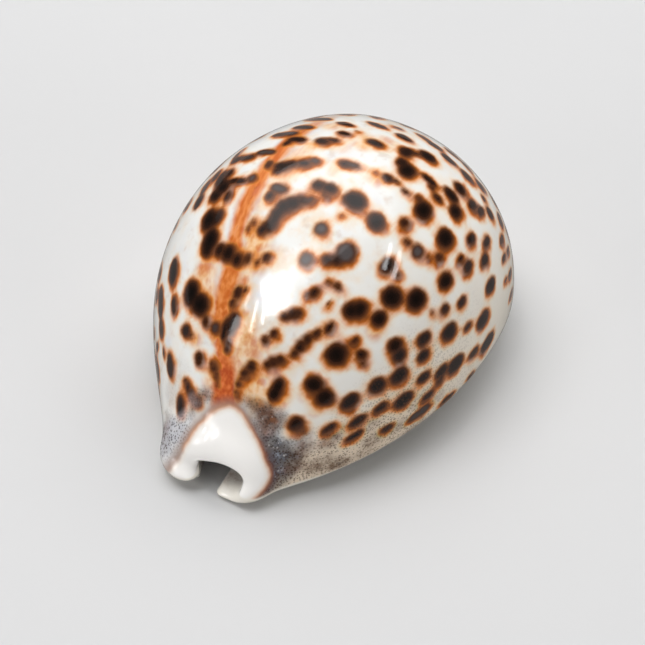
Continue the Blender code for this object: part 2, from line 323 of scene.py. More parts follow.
BACK_DABS = (
    (-10.8, 106.5, 0.9, 0.7, 0.5), (-12, 107.5, 0.8, 0.6, 0.4), (-11.6, 102.3, 1.1, 0.9),
    (-10.8, 100.2, 1.3, 1.2), (-9.8, 99.5, 1.3, 1.1), (-8.7, 99.3, 1.3, 1.2), (-7.4, 98.4, 1.4, 1.4),
    (-6.4, 96, 1.4, 1.5), (-5.5, 93.7, 1, 1.2, 0.9), (-4.9, 91.5, 0.9, 0.9, 0.3, 0.5),
    (-8.6, 84.3, 1.3, 1.2, 0.85, 0.5), (-9.9, 72.2, 1.9, 1.7, 0.95, 0.5), (-11.5, 73.8, 1.2, 1.1, 0.95),
    (-12.2, 76.8, 1, 1.1, 0.9), (-13.6, 84.3, 1.3, 1.3, 0.75, 0.3), (-5.2, 80.6, 0.6, 0.5, 0.3),
    (-14.6, 68.2, 0.9, 1, 0.45), (-14.8, 72.5, 0.8, 0.8, 0.1), (-17.1, 75.2, 1.2, 1, 0.55),
    (-18, 77.5, 0.8, 0.6, 0.1), (-17.2, 67.8, 0.9, 0.5, 0.4), (-16, 58.5, 1.6, 1.5), (-15, 56, 1.7, 1.5),
    (-21.6, 82, 0.8, 0.8, 0.95), (-21, 79.5, 1, 0.95, 0.95), (-20.5, 77, 0.8, 0.8, 0.95),
    (-15.4, 97, 1.1, 0.8, 0.7), (-16.4, 100, 0.7, 0.6, 0.6), (-0.3, 106, 1.2, 1.6), (0.6, 103.3, 0.9, 1.2),
    (1.3, 99.5, 1, 1.3, 0.95), (2.4, 97, 0.8, 1.1, 0.65, 0.5), (-1.4, 106.5, 0.9, 1, 0.85),
    (-0.2, 111.3, 1.2, 0.8, 0.6), (4, 88.6, 1, 1.1, 0.9), (4.5, 86, 0.9, 1.2, 0.65, 0.4),
    (-2.1, 91.8, 1.2, 1.2, 0.85), (-1.8, 88.1, 1.1, 1.5, 0.95), (-3.3, 88.3, 0.8, 0.9, 0.4),
    (-1.9, 79, 1.8, 2.1), (-3, 69, 1.7, 1.7, 0.95), (-4.6, 102.6, 1, 1.7, 0.85, 0.3),
    (-6.2, 104.6, 1, 0.9, 0.95),
)
REAR_DABS = (
    (7.7, 99.9, 1.1, 1.5), (8.8, 97.2, 0.9, 1.3, 0.85), (11.7, 96, 0.9, 1.5, 0.75),
    (15.3, 99.8, 0.9, 1.8, 0.8), (13.8, 93.6, 0.6, 0.8, 0.2), (18.9, 91.3, 1, 2.1, 0.95),
    (12.2, 86, 1.2, 1.7), (14.3, 75.9, 1.9, 1.5), (17, 69.7, 1.6, 1.9), (15.5, 73, 0.7, 0.8, 0.6),
    (9.7, 71.3, 2.1, 1.8), (10.9, 74.5, 1.4, 1.2), (5.5, 74.5, 1.1, 1.2, 0.85), (6, 71.5, 0.8, 0.9, 0.45),
    (5.2, 67.2, 0.9, 1, 0.4, 0.2), (4.7, 58.4, 2.1, 1.9), (6, 62.5, 0.9, 0.8, 0.7),
    (11.3, 63.2, 1, 1.9, 0.8), (10.2, 61, 0.8, 0.9, 0.8), (9.2, 57.2, 1.1, 1.3, 0.65),
    (12.4, 54.5, 1.4, 1.9), (10.2, 49.4, 1.8, 1.6), (15.8, 53.2, 1.6, 1.6), (15.3, 46, 1.6, 1.2),
    (16.3, 41.8, 1.5, 1), (21.2, 54, 1.3, 1.7), (21.2, 63.5, 1.2, 1.9, 0.9), (22.7, 71.3, 1.2, 1.8, 0.95),
    (23.2, 77, 1, 1.5, 0.75), (18.6, 80.8, 1.2, 1.8, 0.95), (23.3, 46.5, 1.2, 1.5, 0.8),
    (18.9, 37.8, 1.3, 1.5, 0.9), (20.3, 43.3, 1, 1, 0.7), (25.5, 64, 1, 1.6, 0.6),
    (25.3, 56.5, 1, 1.3, 0.7), (21.5, 86, 0.8, 1.2, 0.2), (22, 31, 1.5, 1.5, 0.6), (5.3, 79, 0.5, 0.5, 0.1),
)
FRONT_DABS = (
    (-25, 87, 0.8, 0.75, 0.85), (-24, 84, 0.85, 0.75, 0.85), (-27.3, 81, 0.7, 0.7, 0.9),
    (-26.7, 78.5, 0.85, 0.85, 0.9), (-26.1, 75.5, 0.8, 0.8, 0.9), (-29, 70, 2.1, 1.1),
    (-25.9, 52, 1.5, 1.5), (-25.9, 42.5, 1.6, 1.6), (-21.5, 52, 1.8, 1.8), (-19, 43.2, 1.1, 1.1, 0.6),
    (-19.4, 40, 0.8, 0.8, 0.25), (-18.4, 49.3, 0.9, 0.7, 0.5), (-23.5, 30.5, 1.7, 1.2, 0.95),
    (-27.3, 26, 1.4, 0.8, 0.8), (-30.3, 44.5, 1.4, 1.3), (-23.5, 18.6, 1.6, 0.9, 0.95),
    (-24.5, 12, 1.7, 0.75, 0.85), (-19.6, 62, 1.2, 0.7, 0.6), (-21.2, 65.3, 0.9, 0.7, 0.9),
    (-22.6, 67.5, 1, 0.8), (-23.7, 69, 1, 0.85, 0.9), (-24.8, 70, 0.8, 0.7, 0.7),
)
RIGHT_DABS = (
    (0.1, 61, 1.2, 1.1, 0.5), (4, 46.5, 2, 1.8), (9.3, 38.7, 1.5, 1.1, 0.8), (12.8, 33, 1.5, 1, 0.85),
    (-2, 51.5, 1.4, 1.3, 0.7, 0.5), (-2.2, 56.3, 0.9, 0.9, 0.5), (0.5, 44.1, 1, 0.9, 0.75),
    (-1.1, 47, 0.8, 0.6, 0.25), (4.9, 33.2, 1.5, 1.1, 0.95), (4.3, 37.4, 1.1, 0.8, 0.6),
    (9.7, 29.3, 1.5, 1.1, 0.95), (8.8, 20.2, 1.9, 1.3), (14.6, 14.5, 1, 0.6, 0.6),
    (16.3, 21.5, 1.3, 0.7, 0.8), (17.5, 13, 1.5, 0.7, 0.8), (18.2, 27, 1.6, 0.7, 0.8),
    (19.5, 20.5, 1.4, 0.6, 0.6), (17, 5, 1.6, 0.7, 0.6), (-1, 36.6, 1.7, 1.4), (0.1, 26, 1.3, 1, 0.75),
    (-7.4, 41, 2, 1.9), (-10.3, 49, 1.85, 1.95), (-13.8, 47.5, 1.7, 1.6, 0.6), (-7.4, 57.2, 1.6, 1.3, 0.95),
    (-7.4, 52.5, 0.7, 0.7, 0.6), (-3.7, 29.6, 1.2, 1.1, 0.75), (-4.6, 21.8, 1.8, 1.6),
    (-0.4, 17, 1.2, 0.8, 0.8), (4.1, 13, 2.1, 1.5),
)
RIGHT_MARGIN_DABS = (
    (-14.1, 35, 1.3, 1.2), (-14.3, 30.6, 1.25, 1.15), (-9.5, 28, 1.4, 1.1, 0.9),
    (-10.8, 22.8, 1.25, 1, 0.85), (-15.6, 23.7, 1.6, 1.3), (-11.8, 15, 1.4, 1, 0.85), (-4.7, 8.3, 1.9, 1.4),
    (-8.1, 11, 1.5, 1.1, 0.8), (-8.7, 7.7, 1, 0.8, 0.6), (-16, 12.5, 1.8, 1.3), (-11.5, 6, 1.3, 0.8, 0.7),
    (-19.2, 27, 1.5, 1.3), (-19.8, 17, 1.3, 0.9, 0.8), (-19.4, 5, 1.3, 0.8, 0.8),
    (-13.2, 1.3, 2.2, 0.9, 0.85, 0.3), (-6.8, -5, 1.5, 0.7, 0.7), (0.4, 5.3, 1.4, 0.9, 0.85),
    (5, 2.6, 2.2, 1.3, 0.95), (-0.3, -5, 1, 0.6, 0.6), (-6.2, 33, 0.24, 0.24),
)


def grown(dabs, scale):
    """The same dabs, wider and longer by a factor."""
    return tuple((d[0], d[1], d[2] * scale, d[3] * scale) + d[4:] for d in dabs)


HAND_DABS = (grown(LEFT_FRONT_DABS, 1.24) + grown(LEFT_DABS, 1.3) + grown(LEFT_REAR_DABS, 1.18)
             + grown(BACK_DABS, 1.06) + grown(REAR_DABS, 1.02) + grown(FRONT_DABS, 1.2)
             + grown(RIGHT_DABS, 1.1) + grown(RIGHT_MARGIN_DABS, 1.26))

# Warm washes in the glaze: (along, around, half length, half width, strength).
WARM_WASHES = (
    (-12.6, 103, 3, 2.3, 0.95), (-9.8, 98.5, 2, 1.6, 0.6), (-16.4, 104.5, 3, 2.8, 0.85),
    (-17, 99, 1.6, 1.6, 0.5), (-20.6, 104, 3, 2.4, 0.95), (-24.5, 99, 3, 3, 0.95),
    (-26.4, 93.5, 2.6, 2.6, 0.8), (-28.6, 100, 2.4, 2.2, 0.8), (-30.6, 103, 1.6, 2.6, 0.9),
    (-29.8, 90.5, 1.7, 2.3, 1), (-29.4, 84, 1.5, 1.8, 0.9), (-31, 79, 1.3, 1.6, 0.7),
    (-28, 84, 1.6, 2, 0.4), (-6.5, 107, 3, 1.8, 0.6), (-1, 104, 2.5, 3.5, 0.6), (3, 103, 2, 2.5, 0.5),
    (-5, 111, 2.5, 1.2, 0.5), (5.9, 101, 1.2, 2, 0.9), (10.2, 88, 1.5, 1.6, 0.9), (2.5, 90, 1.6, 1.4, 0.7),
    (4, 77, 1.4, 1.4, 0.8), (-18.4, 124, 2.2, 1.7, 0.75), (-21, 121, 1.6, 1.3, 0.6),
    (-23.6, 120.5, 1.6, 1.4, 0.75), (-26.4, 124, 1.5, 1.2, 0.75), (-29.6, 66, 1.8, 1.8, 1),
    (-27.4, 42, 1.6, 1.4, 0.7), (-27.3, 51, 1.3, 1.3, 0.55), (-15.3, 45.5, 1.6, 1.6, 0.8),
    (8, 111, 1.6, 1.6, 0.6), (-9, 122, 2, 1.4, 0.6), (-12, 120.5, 1.5, 1.2, 0.65),
    (-31.4, 44, 1.2, 1.2, 0.6), (-30.8, 112, 1.6, 1.2, 0.7), (-3.6, 134, 1.6, 1, 0.5),
    (-1.5, 86, 1.6, 1.2, 0.4), (7.5, 93, 1.6, 1.6, 0.5), (-14.5, 93.5, 1.4, 1, 0.45),
    (-18.4, 121, 2.2, 2.2, 0.7), (-21.6, 116.5, 2.4, 1.6, 0.7), (-15, 99, 2.4, 2.2, 0.5),
    (-30.9, 84, 1.4, 2, 0.8), (-30.2, 76, 1.4, 1.6, 0.7), (13, 103, 1.4, 2, 0.6),
    (12.6, 88.5, 1.4, 1.8, 0.8), (14.8, 84, 1.2, 1.6, 0.6), (1.5, 110, 1.4, 1.4, 0.6),
    (-7.5, 115.5, 1.4, 1, 0.5),
)

# Blue-grey of the neck on both sides of the front callus, in the same manner.
GREY_WASHES = (
    (-34.5, 44, 2.6, 3.4, 0.95), (-37.6, 30, 2.4, 3.2, 0.95), (-34.2, 20, 2.8, 3, 0.85),
    (-32.6, 60, 2.2, 1.8, 0.7), (-36.2, 5, 3, 2.4, 0.7), (-33.2, 72, 1.8, 1.2, 0.5), (-38.6, 8, 2, 2, 0.7),
    (-31.8, 30, 2, 2.2, 0.5), (-37.6, 146, 2.8, 3.2, 0.75), (-37.2, 162, 2.8, 3.2, 0.8),
    (-33.4, 121, 1.4, 1.6, 0.55), (-36.6, 130, 2.4, 1.8, 0.5), (-37.5, 178, 3, 3.4, 0.75),
)

# Dusky brown smudges beside the callus.
DUSK_WASHES = (
    (-32.4, 112, 1.2, 1.6, 0.85), (-33, 119, 1.3, 1.4, 0.8), (-34.4, 122.5, 1.4, 0.9, 0.6),
    (-31.6, 87.5, 1.1, 1.6, 0.5), (-31.7, 78, 1.4, 1.8, 0.75), (-31.6, 69.5, 1.8, 1.8, 0.95),
    (-33, 63, 1.7, 1.5, 0.75), (-31.2, 58, 1.5, 1.5, 0.75), (-30.2, 35, 1.4, 1.6, 0.65),
    (-27.8, 18, 2.2, 1.4, 0.7), (-33, 9, 2, 1.2, 0.5), (-30.8, 24, 1.6, 1.2, 0.5),
    (-29.6, 140, 3, 3.4, 0.1), (-31.6, 150, 2.4, 2.6, 0.2), (-32, 66, 1.6, 1.6, 0.85),
    (-36, 168, 2.2, 1.6, 0.3),
)

# Clusters of fine brown grains, most of them low on the columellar margin.
GRAIN_WASHES = (
    (-32.5, 19, 2.2, 2, 0.9), (-30.1, 3, 2, 1.6, 1), (-28.6, 5, 1.6, 1.2, 0.7), (-27.1, -1, 2.4, 1.3, 0.9),
    (-31, 27, 1.6, 1.4, 0.6), (-26.7, 21, 2, 1.2, 0.5), (-21.6, 3, 2.4, 1.4, 0.6), (-23, -2, 1.8, 1, 0.5),
    (-17, 2, 2.4, 1.2, 0.55), (-13.2, 7, 2.2, 1.6, 0.55), (-9.6, 2, 2, 1.2, 0.5), (-22, 12, 2.2, 1.4, 0.45),
    (-8, -12, 2.6, 1, 0.4), (-14, -8, 2.6, 0.9, 0.4), (-35, 166, 2.4, 2, 0.5), (-37.4, 174, 2.2, 2.4, 0.6),
    (-33.6, 34, 1.6, 1.6, 0.5),
)

# The mantle line, where the two lobes of the mantle met over the back: its place and half width.
LINE_ALONG = (-34, -32.3, -31.3, -29.5, -28.2, -27, -25.4, -22.6, -19, -13, -5, 5, 12, 24)
LINE_AROUND = (98.5, 99.5, 101, 102.5, 104.5, 106.6, 108.6, 110, 109.4, 111.4, 111.4, 110.6, 109.6, 109)
LINE_HALF = (2.5, 2.3, 2.1, 1.8, 1.6, 1.5, 1.5, 1.8, 1.7, 1.2, 1.4, 1.4, 1, 0.5)

# Edge of the white callus over the front canal, as (x, y, z) in the shell's own millimetres: from
# low on the outer side, over the top, to low on the columellar side.
CALLUS_EDGE = (
    (-10.6, -40.6, 1.5), (-9.3, -40.2, 3.3), (-8.4, -39.2, 5.2), (-7.5, -37.8, 7.8), (-6.8, -36.3, 10),
    (-5.8, -34.9, 12.2), (-4.5, -33.7, 14), (-3, -32.9, 15.3), (-1.6, -32.5, 16), (-0.1, -32.6, 15.9),
    (1.6, -33.1, 15.1), (3.4, -33.8, 13.5), (5.2, -34.4, 11.3), (6.8, -34.9, 8.7), (7.7, -35.4, 6.8),
    (7.9, -36.4, 5.3), (7.4, -37.9, 3.9), (6.6, -39, 2.7), (5.5, -39.8, 1.6),
)
CALLUS_HEART = (-0.5, -38.5, 8.0)

# How far along the spots listed above reach, at each angle around. Past that they are drawn from a
# seeded generator.
SEEN_AROUND = (-20, -6, 0, 10, 20, 30, 45, 60, 80, 95, 112, 122, 130, 138, 145, 150, 158, 165, 175, 200)
SEEN_ALONG = (-40, 9, 16.5, 20.5, 22.5, 23.5, 25, 26.5, 26, 23, 18.5, 14.5, 9.5, 5, 0, -8, -17, -24.5, -30,
              -40)
HIDDEN_SPOTS = 190
HIDDEN_TRIES = 6000
HIDDEN_SEED = 11

FLOW = 0.33                # how far touching dabs flow together
CLEAR = 6.0                # distance that counts as clear of every spot
FAR = 9.0                  # distances are not worked out past this
HALO_FORWARD = 0.2         # the halos sit a little forward and sideways of the spots
HALO_SIDEWAYS = 0.35


def dab_rows():
    """All dabs as one array of (along, around, half length, half width, ink, veil)."""
    hand = [d + (1.0, 0.0)[len(d) - 4:] for d in HAND_DABS]
    return np.array(hand + hidden_dabs(hand), float)


def hidden_dabs(hand):
    """Spots for the sides that face away: seeded, spaced apart, smaller towards the margins."""
    rng = np.random.default_rng(HIDDEN_SEED)
    places = [outer_point(d[0], d[1]) for d in hand]
    made = []
    for _ in range(HIDDEN_TRIES):
        along, around = rng.uniform(-30.0, 37.0), rng.uniform(2.0, 190.0)
        limit = np.interp(around, SEEN_AROUND, SEEN_ALONG)
        size = rng.uniform(0.9, 1.9)
        stretch = rng.uniform(0.85, 1.25)
        ink = rng.uniform(0.7, 1.0)
        if along < limit + 1.0 or len(made) == HIDDEN_SPOTS:
            continue
        margin = float(ease(0.0, 45.0, min(around, 192.0 - around)))
        size *= 0.62 + 0.38 * margin
        place = outer_point(along, around)
        gap = min(np.linalg.norm(place - p) for p in places)
        if gap < 1.9 + 1.5 * size:
            continue
        places.append(place)
        made.append((along, around, size * stretch, size / stretch, ink, 0.0))
    return made


def patches(points, rows, forward=0.0, sideways=0.0):
    """Distance in mm from each point to each oval patch, negative inside it.

    The patches may all be moved a little, towards the front or towards the columellar side.
    """
    for row in rows:
        along, around, half_a, half_b = row[:4]
        centre = outer_point(along, around)
        lengthwise = outer_point(along + 0.25, around) - outer_point(along - 0.25, around)
        lengthwise /= np.linalg.norm(lengthwise)
        across = outer_point(along, around - 0.5) - outer_point(along, around + 0.5)
        across -= lengthwise * (across @ lengthwise)
        across /= np.linalg.norm(across)
        offset = points - centre + lengthwise * forward - across * sideways
        a, b = offset @ lengthwise, offset @ across
        flat = np.sqrt(a * a + b * b) + 1e-6
        ratio = np.sqrt((a / half_a) ** 2 + (b / half_b) ** 2) + 1e-6
        distance = flat - flat / ratio
        yield row, np.where(np.linalg.norm(offset, axis=-1) > FAR, FAR, distance)


def spot_fields(points, dabs):
    """Distance to the nearest spot, with touching dabs flowed together, its ink and its veil."""
    total = np.zeros(points.shape[:-1])
    ink, veil = total.copy(), total.copy()
    for row, distance in patches(points, dabs):
        weight = np.exp(-distance / FLOW)
        total += weight
        ink += weight * row[4]
        veil += weight * row[5]
    total += 1e-30
    return np.minimum(-FLOW * np.log(total), CLEAR), ink / total, veil / total


def halo_field(points, dabs):
    """Distance to the nearest rusty halo."""
    total = np.full(points.shape[:-1], 1e-30)
    for row, distance in patches(points, dabs, HALO_FORWARD, HALO_SIDEWAYS):
        total += np.exp(-distance / FLOW)
    return np.minimum(-FLOW * np.log(total), CLEAR)


def wash_field(points, washes):
    """How strong a set of washes is, from 0 to 1."""
    clear = np.ones(points.shape[:-1])
    for row, distance in patches(points, washes):
        clear *= 1 - row[4] * ease(1.1, -1.1, distance)
    return 1 - clear


def line_fields(along, around, points):
    """Distance across the mantle line, its half width here, and its strength."""
    middle = spline(LINE_ALONG, LINE_AROUND)(np.clip(along, LINE_ALONG[0], LINE_ALONG[-1]))
    there = outer_point(along, middle)
    across = np.linalg.norm(points - there, axis=-1) * np.sign(middle - around)
    half = np.interp(along, LINE_ALONG, LINE_HALF)
    strength = ease(24.0, 6.0, along) * ease(-34.5, -32.5, along)
    return np.clip(across, -FAR, FAR), half, strength


def callus_field(points):
    """Distance in mm to the callus edge: negative on the callus, positive on the spotted glaze."""
    steps = np.arange(len(CALLUS_EDGE))
    fine = np.linspace(0, len(CALLUS_EDGE) - 1, 401)
    knots = np.array(CALLUS_EDGE)
    edge = np.stack([spline(steps, knots[:, i])(fine) for i in range(3)], axis=1)
    run = np.gradient(edge, axis=0)
    run /= np.linalg.norm(run, axis=1)[:, None]
    outward = edge - np.array(CALLUS_HEART)
    outward -= run * (outward * run).sum(1)[:, None]
    outward /= np.linalg.norm(outward, axis=1)[:, None]
    best = np.full(points.shape[:-1], np.inf)
    side = np.ones(points.shape[:-1])
    for spot, away in zip(edge, outward):
        offset = points - spot
        distance = np.linalg.norm(offset, axis=-1)
        nearer = distance < best
        best = np.where(nearer, distance, best)
        side = np.where(nearer, offset @ away, side)
    far = ease(1.2, 2.8, best)
    return np.clip(side * (1 - far) + np.sign(side) * best * far, -FAR, FAR)


def outside_fields(points, along, around):
    """Every field that the glaze reads on the outside."""
    dabs = dab_rows()
    spot, ink, veil = spot_fields(points, dabs)
    across, half, strength = line_fields(along, around, points)
    return {
        "spot": spot, "halo": halo_field(points, dabs), "ink": ink, "veil": veil,
        "wash": wash_field(points, WARM_WASHES), "grey": wash_field(points, GREY_WASHES),
        "dusk": wash_field(points, DUSK_WASHES), "grain": wash_field(points, GRAIN_WASHES),
        "line_across": across, "line_half": half, "line_strength": strength,
        "callus": callus_field(points), "along": along, "around": around,
        "inside": np.zeros(along.shape),
    }


# ------------------------------------------------------------------ mesh
def bend_grid(bm, shape, points, fields, layers):
    """Lays a flat grid onto rows and columns of points, and writes the fields on its vertices."""
    rows, columns = shape
    grid = bmesh.ops.create_grid(bm, x_segments=columns - 1, y_segments=rows - 1, size=1.0)
    for vert in grid["verts"]:
        column = round((vert.co.x + 1) / 2 * (columns - 1))
        row = round((vert.co.y + 1) / 2 * (rows - 1))
        vert.co = Vector(points[row, column])
        for name, carried in layers.items():
            vert[carried] = float(fields[name][row, column])
    return grid["verts"]


def fit_to(bm, lowest, highest):
    """Brings the mesh, in its own millimetres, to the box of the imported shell, in metres."""
    places = np.array([v.co for v in bm.verts])
    low, high = places.min(0), places.max(0)
    for vert in bm.verts:
        for i in range(3):
            part = (vert.co[i] - low[i]) / (high[i] - low[i])
            vert.co[i] = lowest[i] + part * (highest[i] - lowest[i])


def make_shell():
    """The whole wall as one closed mesh: outside and inside, merged at the lips and end rims."""
    outside, inside, along, around = wall()
    fields = outside_fields(outside, along, around)
    hollow = {name: np.zeros(along.shape) for name in fields}
    hollow["spot"] += CLEAR
    hollow["halo"] += CLEAR
    hollow["callus"] = callus_field(inside)
    hollow["along"], hollow["around"] = along, around
    hollow["inside"] += ease(HALF_LENGTH - 0.3, HALF_LENGTH - 4.5, np.abs(along))
    bm = bmesh.new()
    layers = {name: bm.verts.layers.float.new(name) for name in fields}
    bend_grid(bm, along.shape, outside, fields, layers)
    inner = bend_grid(bm, along.shape, inside, hollow, layers)
    inner_faces = list({face for vert in inner for face in vert.link_faces})
    bmesh.ops.reverse_faces(bm, faces=inner_faces)
    bmesh.ops.remove_doubles(bm, verts=bm.verts, dist=0.0005)
    bmesh.ops.recalc_face_normals(bm, faces=bm.faces)
    fit_to(bm, *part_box("shell"))
    for face in bm.faces:
        face.smooth = True
    mesh = bpy.data.meshes.new("cowrie_shell")
    bm.to_mesh(mesh)
    bm.free()
    return mesh


# ------------------------------------------------------------------ glaze
FLOAT, VECTOR, COLOUR = "NodeSocketFloat", "NodeSocketVector", "NodeSocketColor"


def shade(colour):
    """A colour as seen on a screen, 0 to 255, as the linear colour that a shader takes."""
    return tuple((c / 255) ** 2.2 for c in colour) + (1.0,)


class Nodes:
    """The nodes of one material or group. Three numbers for a colour are as seen on a screen."""

    def __init__(self, tree):
        self.tree = tree
        self.place = None

    def add(self, kind, **settings):
        """A new node with its settings."""
        made = self.tree.nodes.new(kind)
        for name, value in settings.items():
            setattr(made, name, value)
        return made

    def feed(self, socket, value):
        """Joins an output to a socket, or sets a plain value or a colour on it."""
        if isinstance(value, bpy.types.NodeSocket):
            self.tree.links.new(value, socket)
        elif isinstance(value, tuple) and len(value) == 3:
            socket.default_value = shade(value)
        else:
            socket.default_value = value

    def field(self, name):
        """A field that the mesh carries on its vertices."""
        made = self.add("ShaderNodeAttribute", attribute_type="GEOMETRY", attribute_name=name)
        return made.outputs["Fac"]

    def sums(self, operation, *values):
        """One step of arithmetic."""
        made = self.add("ShaderNodeMath", operation=operation)
        for socket, value in zip(made.inputs, values):
            self.feed(socket, value)
        return made.outputs[0]

    def times(self, first, *others):
        """Product of masks and numbers."""
        for value in others:
            first = self.sums("MULTIPLY", first, value)
        return first

    def plus(self, first, *others):
        """Sum of fields and numbers."""
        for value in others:
            first = self.sums("ADD", first, value)
        return first

    def fade(self, value, start, end, low=0.0, high=1.0, kind="SMOOTHSTEP"):
        """Mask: low at start, high at end."""
        made = self.add("ShaderNodeMapRange", interpolation_type=kind, clamp=True)
        for name, given in (("Value", value), ("From Min", start), ("From Max", end),
                            ("To Min", low), ("To Max", high)):
            self.feed(made.inputs[name], given)
        return made.outputs["Result"]

    def layer(self, below, above, mask, blend="MIX"):
        """Lays one colour over another where the mask is 1."""
        made = self.add("ShaderNodeMix", data_type="RGBA", blend_type=blend, clamp_factor=True)
        for index, value in ((0, mask), (6, below), (7, above)):
            self.feed(made.inputs[index], value)
        return made.outputs[2]

    def ramp(self, value, *stops):
        """Colour ramp from (place, colour) stops, the first at 0 and the last at 1."""
        made = self.add("ShaderNodeValToRGB")
        elements = made.color_ramp.elements
        elements[0].color, elements[1].color = shade(stops[0][1]), shade(stops[-1][1])
        for place, colour in stops[1:-1]:
            elements.new(place).color = shade(colour)
        self.feed(made.inputs["Fac"], value)
        return made.outputs["Color"]

    def noise(self, scale, detail=2.0, roughness=0.5, place=None):
        """Soft noise around 0, from about -0.5 to 0.5."""
        made = self.add("ShaderNodeTexNoise", noise_dimensions="3D")
        for name, value in (("Vector", self.place if place is None else place), ("Scale", scale),
                            ("Detail", detail), ("Roughness", roughness)):
            self.feed(made.inputs[name], value)
        return self.sums("SUBTRACT", made.outputs["Fac"], 0.5)

    def stretched(self, across, lengthwise):
        """Place squeezed so that noise on it makes streaks along the shell."""
        made = self.add("ShaderNodeMapping")
        self.feed(made.inputs["Vector"], self.place)
        made.inputs["Scale"].default_value = (across, lengthwise, across)
        return made.outputs["Vector"]


class Group(Nodes):
    """A shader group with named sockets. An input without a value of its own is a place."""

    def __init__(self, name, inputs, outputs):
        super().__init__(bpy.data.node_groups.new(name, "ShaderNodeTree"))
        for label, value in inputs.items():
            kind = VECTOR if value is None else FLOAT
            socket = self.tree.interface.new_socket(label, in_out="INPUT", socket_type=kind)
            if value is not None:
                socket.default_value = value
        for label, kind in outputs.items():
            self.tree.interface.new_socket(label, in_out="OUTPUT", socket_type=kind)
        self.given = self.tree.nodes.new("NodeGroupInput").outputs
        self.out = self.tree.nodes.new("NodeGroupOutput").inputs
        if "Place" in inputs:
            self.place = self.given["Place"]


def ragged_edge_group():
    """Moves a distance in and out, so that the edges of marks are feathered and never quite even."""
    group = Group("ragged_edge", {"Place": None, "Distance": 1.0, "Broad": 0.6, "Fine": 0.3},
                  {"Distance": FLOAT})
    broad = group.times(group.noise(0.45, 1.0), group.given["Broad"])
    fine = group.times(group.noise(1.1, 1.2), group.given["Fine"])
    group.feed(group.out["Distance"], group.plus(broad, fine, group.given["Distance"]))
    return group.tree


def speckle_group():
    """Fine scattered dots: Density is how many of the cells hold one, Size how big they are."""
    group = Group("speckle", {"Place": None, "Scale": 2.0, "Size": 0.3, "Density": 0.5},
                  {"Mask": FLOAT})
    cells = group.add("ShaderNodeTexVoronoi", feature="F1", voronoi_dimensions="3D")
    group.feed(cells.inputs["Vector"], group.place)
    group.feed(cells.inputs["Scale"], group.given["Scale"])
    split = group.add("ShaderNodeSeparateColor")
    group.feed(split.inputs["Color"], cells.outputs["Color"])
    chosen = group.sums("LESS_THAN", split.outputs["Red"], group.given["Density"])
    varied = group.fade(split.outputs["Green"], 0.0, 1.0, 0.6, 1.2)
    radius = group.times(group.given["Size"], varied)
    dot = group.fade(cells.outputs["Distance"], radius, group.times(radius, 0.45))
    group.feed(group.out["Mask"], group.times(dot, chosen))
    return group.tree


def flecks_group():
    """Feathered flecks where fine noise rises over a level: a lower Level makes more of them."""
    group = Group("flecks", {"Place": None, "Scale": 1.5, "Level": 0.1, "Softness": 0.1},
                  {"Mask": FLOAT})
    level = group.given["Level"]
    grain = group.noise(group.given["Scale"], 3.0, 0.6)
    mask = group.fade(grain, level, group.plus(level, group.given["Softness"]))
    group.feed(group.out["Mask"], mask)
    return group.tree


def spot_colours_group():
    """A spot by distance: rusty halo with a peach edge, and a brown-black core with a soft rim."""
    group = Group("spot_colours", {"Core": 1.0, "Halo": 1.0, "Ink": 1.0, "Veil": 0.0},
                  {"Halo Colour": COLOUR, "Halo Cover": FLOAT,
                   "Core Colour": COLOUR, "Core Cover": FLOAT})
    given, out = group.given, group.out
    weak = group.sums("SUBTRACT", 1.0, given["Ink"])
    halo = group.plus(given["Halo"], group.times(weak, 0.15))
    rust = group.ramp(group.fade(halo, -0.5, 1.2, kind="LINEAR"), (0.0, (108, 54, 22)),
                      (0.26, (178, 92, 32)), (0.48, (222, 136, 58)), (0.74, (238, 184, 124)),
                      (1.0, (242, 214, 180)))
    group.feed(out["Halo Colour"], rust)
    group.feed(out["Halo Cover"], group.fade(halo, 1.6, -0.1))

    core = group.plus(group.times(weak, 0.45), 0.08, given["Core"])
    brown = group.ramp(group.fade(core, -1.9, 0.6, kind="LINEAR"), (0.0, (22, 16, 13)),
                       (0.28, (33, 22, 17)), (0.46, (50, 31, 22)), (0.6, (74, 44, 28)),
                       (0.74, (106, 64, 38)), (0.87, (148, 94, 56)), (1.0, (186, 132, 90)))
    veil = group.times(given["Veil"], group.fade(core, 0.0, -1.0))
    group.feed(out["Core Colour"], group.layer(brown, (112, 106, 106), veil))
    group.feed(out["Core Cover"], group.fade(core, 0.7, -0.4))
    return group.tree


